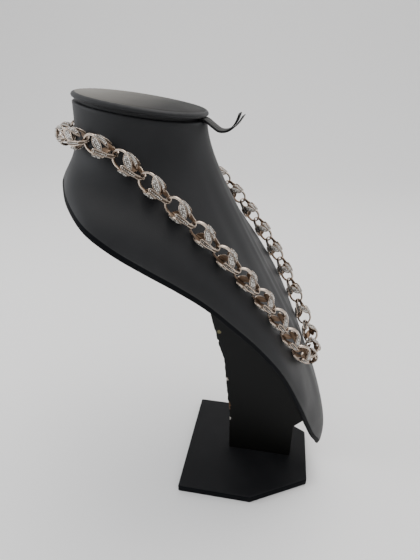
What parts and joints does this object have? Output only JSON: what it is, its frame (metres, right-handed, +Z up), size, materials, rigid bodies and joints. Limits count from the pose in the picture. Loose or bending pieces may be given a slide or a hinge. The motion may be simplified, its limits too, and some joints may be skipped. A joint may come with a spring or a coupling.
{
  "type": "belcher chain on a neck bust stand",
  "caption": "Silver belcher chain of cage-like tulip links with fine set stones, worn by a plain black neck bust on a flat leg and a base plate.",
  "frame": {"origin": "middle of the base plate's underside", "axes": "+Z up, -Y the way the chest of the bust looks, +X to the bust's left"},
  "size_m": [0.1722, 0.2089, 0.3178],
  "materials": {
    "silver": "polished silver, with brownish shade inside the links",
    "leatherette": "black leatherette, fine grain, low sheen",
    "board": "board covered in black paper or leatherette"
  },
  "bodies": {
    "root": {"link_01": "silver", "link_02": "silver", "link_03": "silver", "link_04": "silver", "link_05": "silver", "link_06": "silver", "link_07": "silver", "link_08": "silver", "link_09": "silver", "link_10": "silver", "link_11": "silver", "link_12": "silver", "link_13": "silver", "link_14": "silver", "link_15": "silver", "link_16": "silver", "link_17": "silver", "link_18": "silver", "link_19": "silver", "link_20": "silver", "link_21": "silver", "link_22": "silver", "link_23": "silver", "link_24": "silver", "link_25": "silver", "link_26": "silver", "link_27": "silver", "link_28": "silver", "link_29": "silver", "link_30": "silver", "link_31": "silver", "link_32": "silver", "bust_shell": "leatherette", "neck_cap": "leatherette", "neck_strap": "leatherette", "leg": "board", "base_plate": "board"}
  },
  "joints": []
}
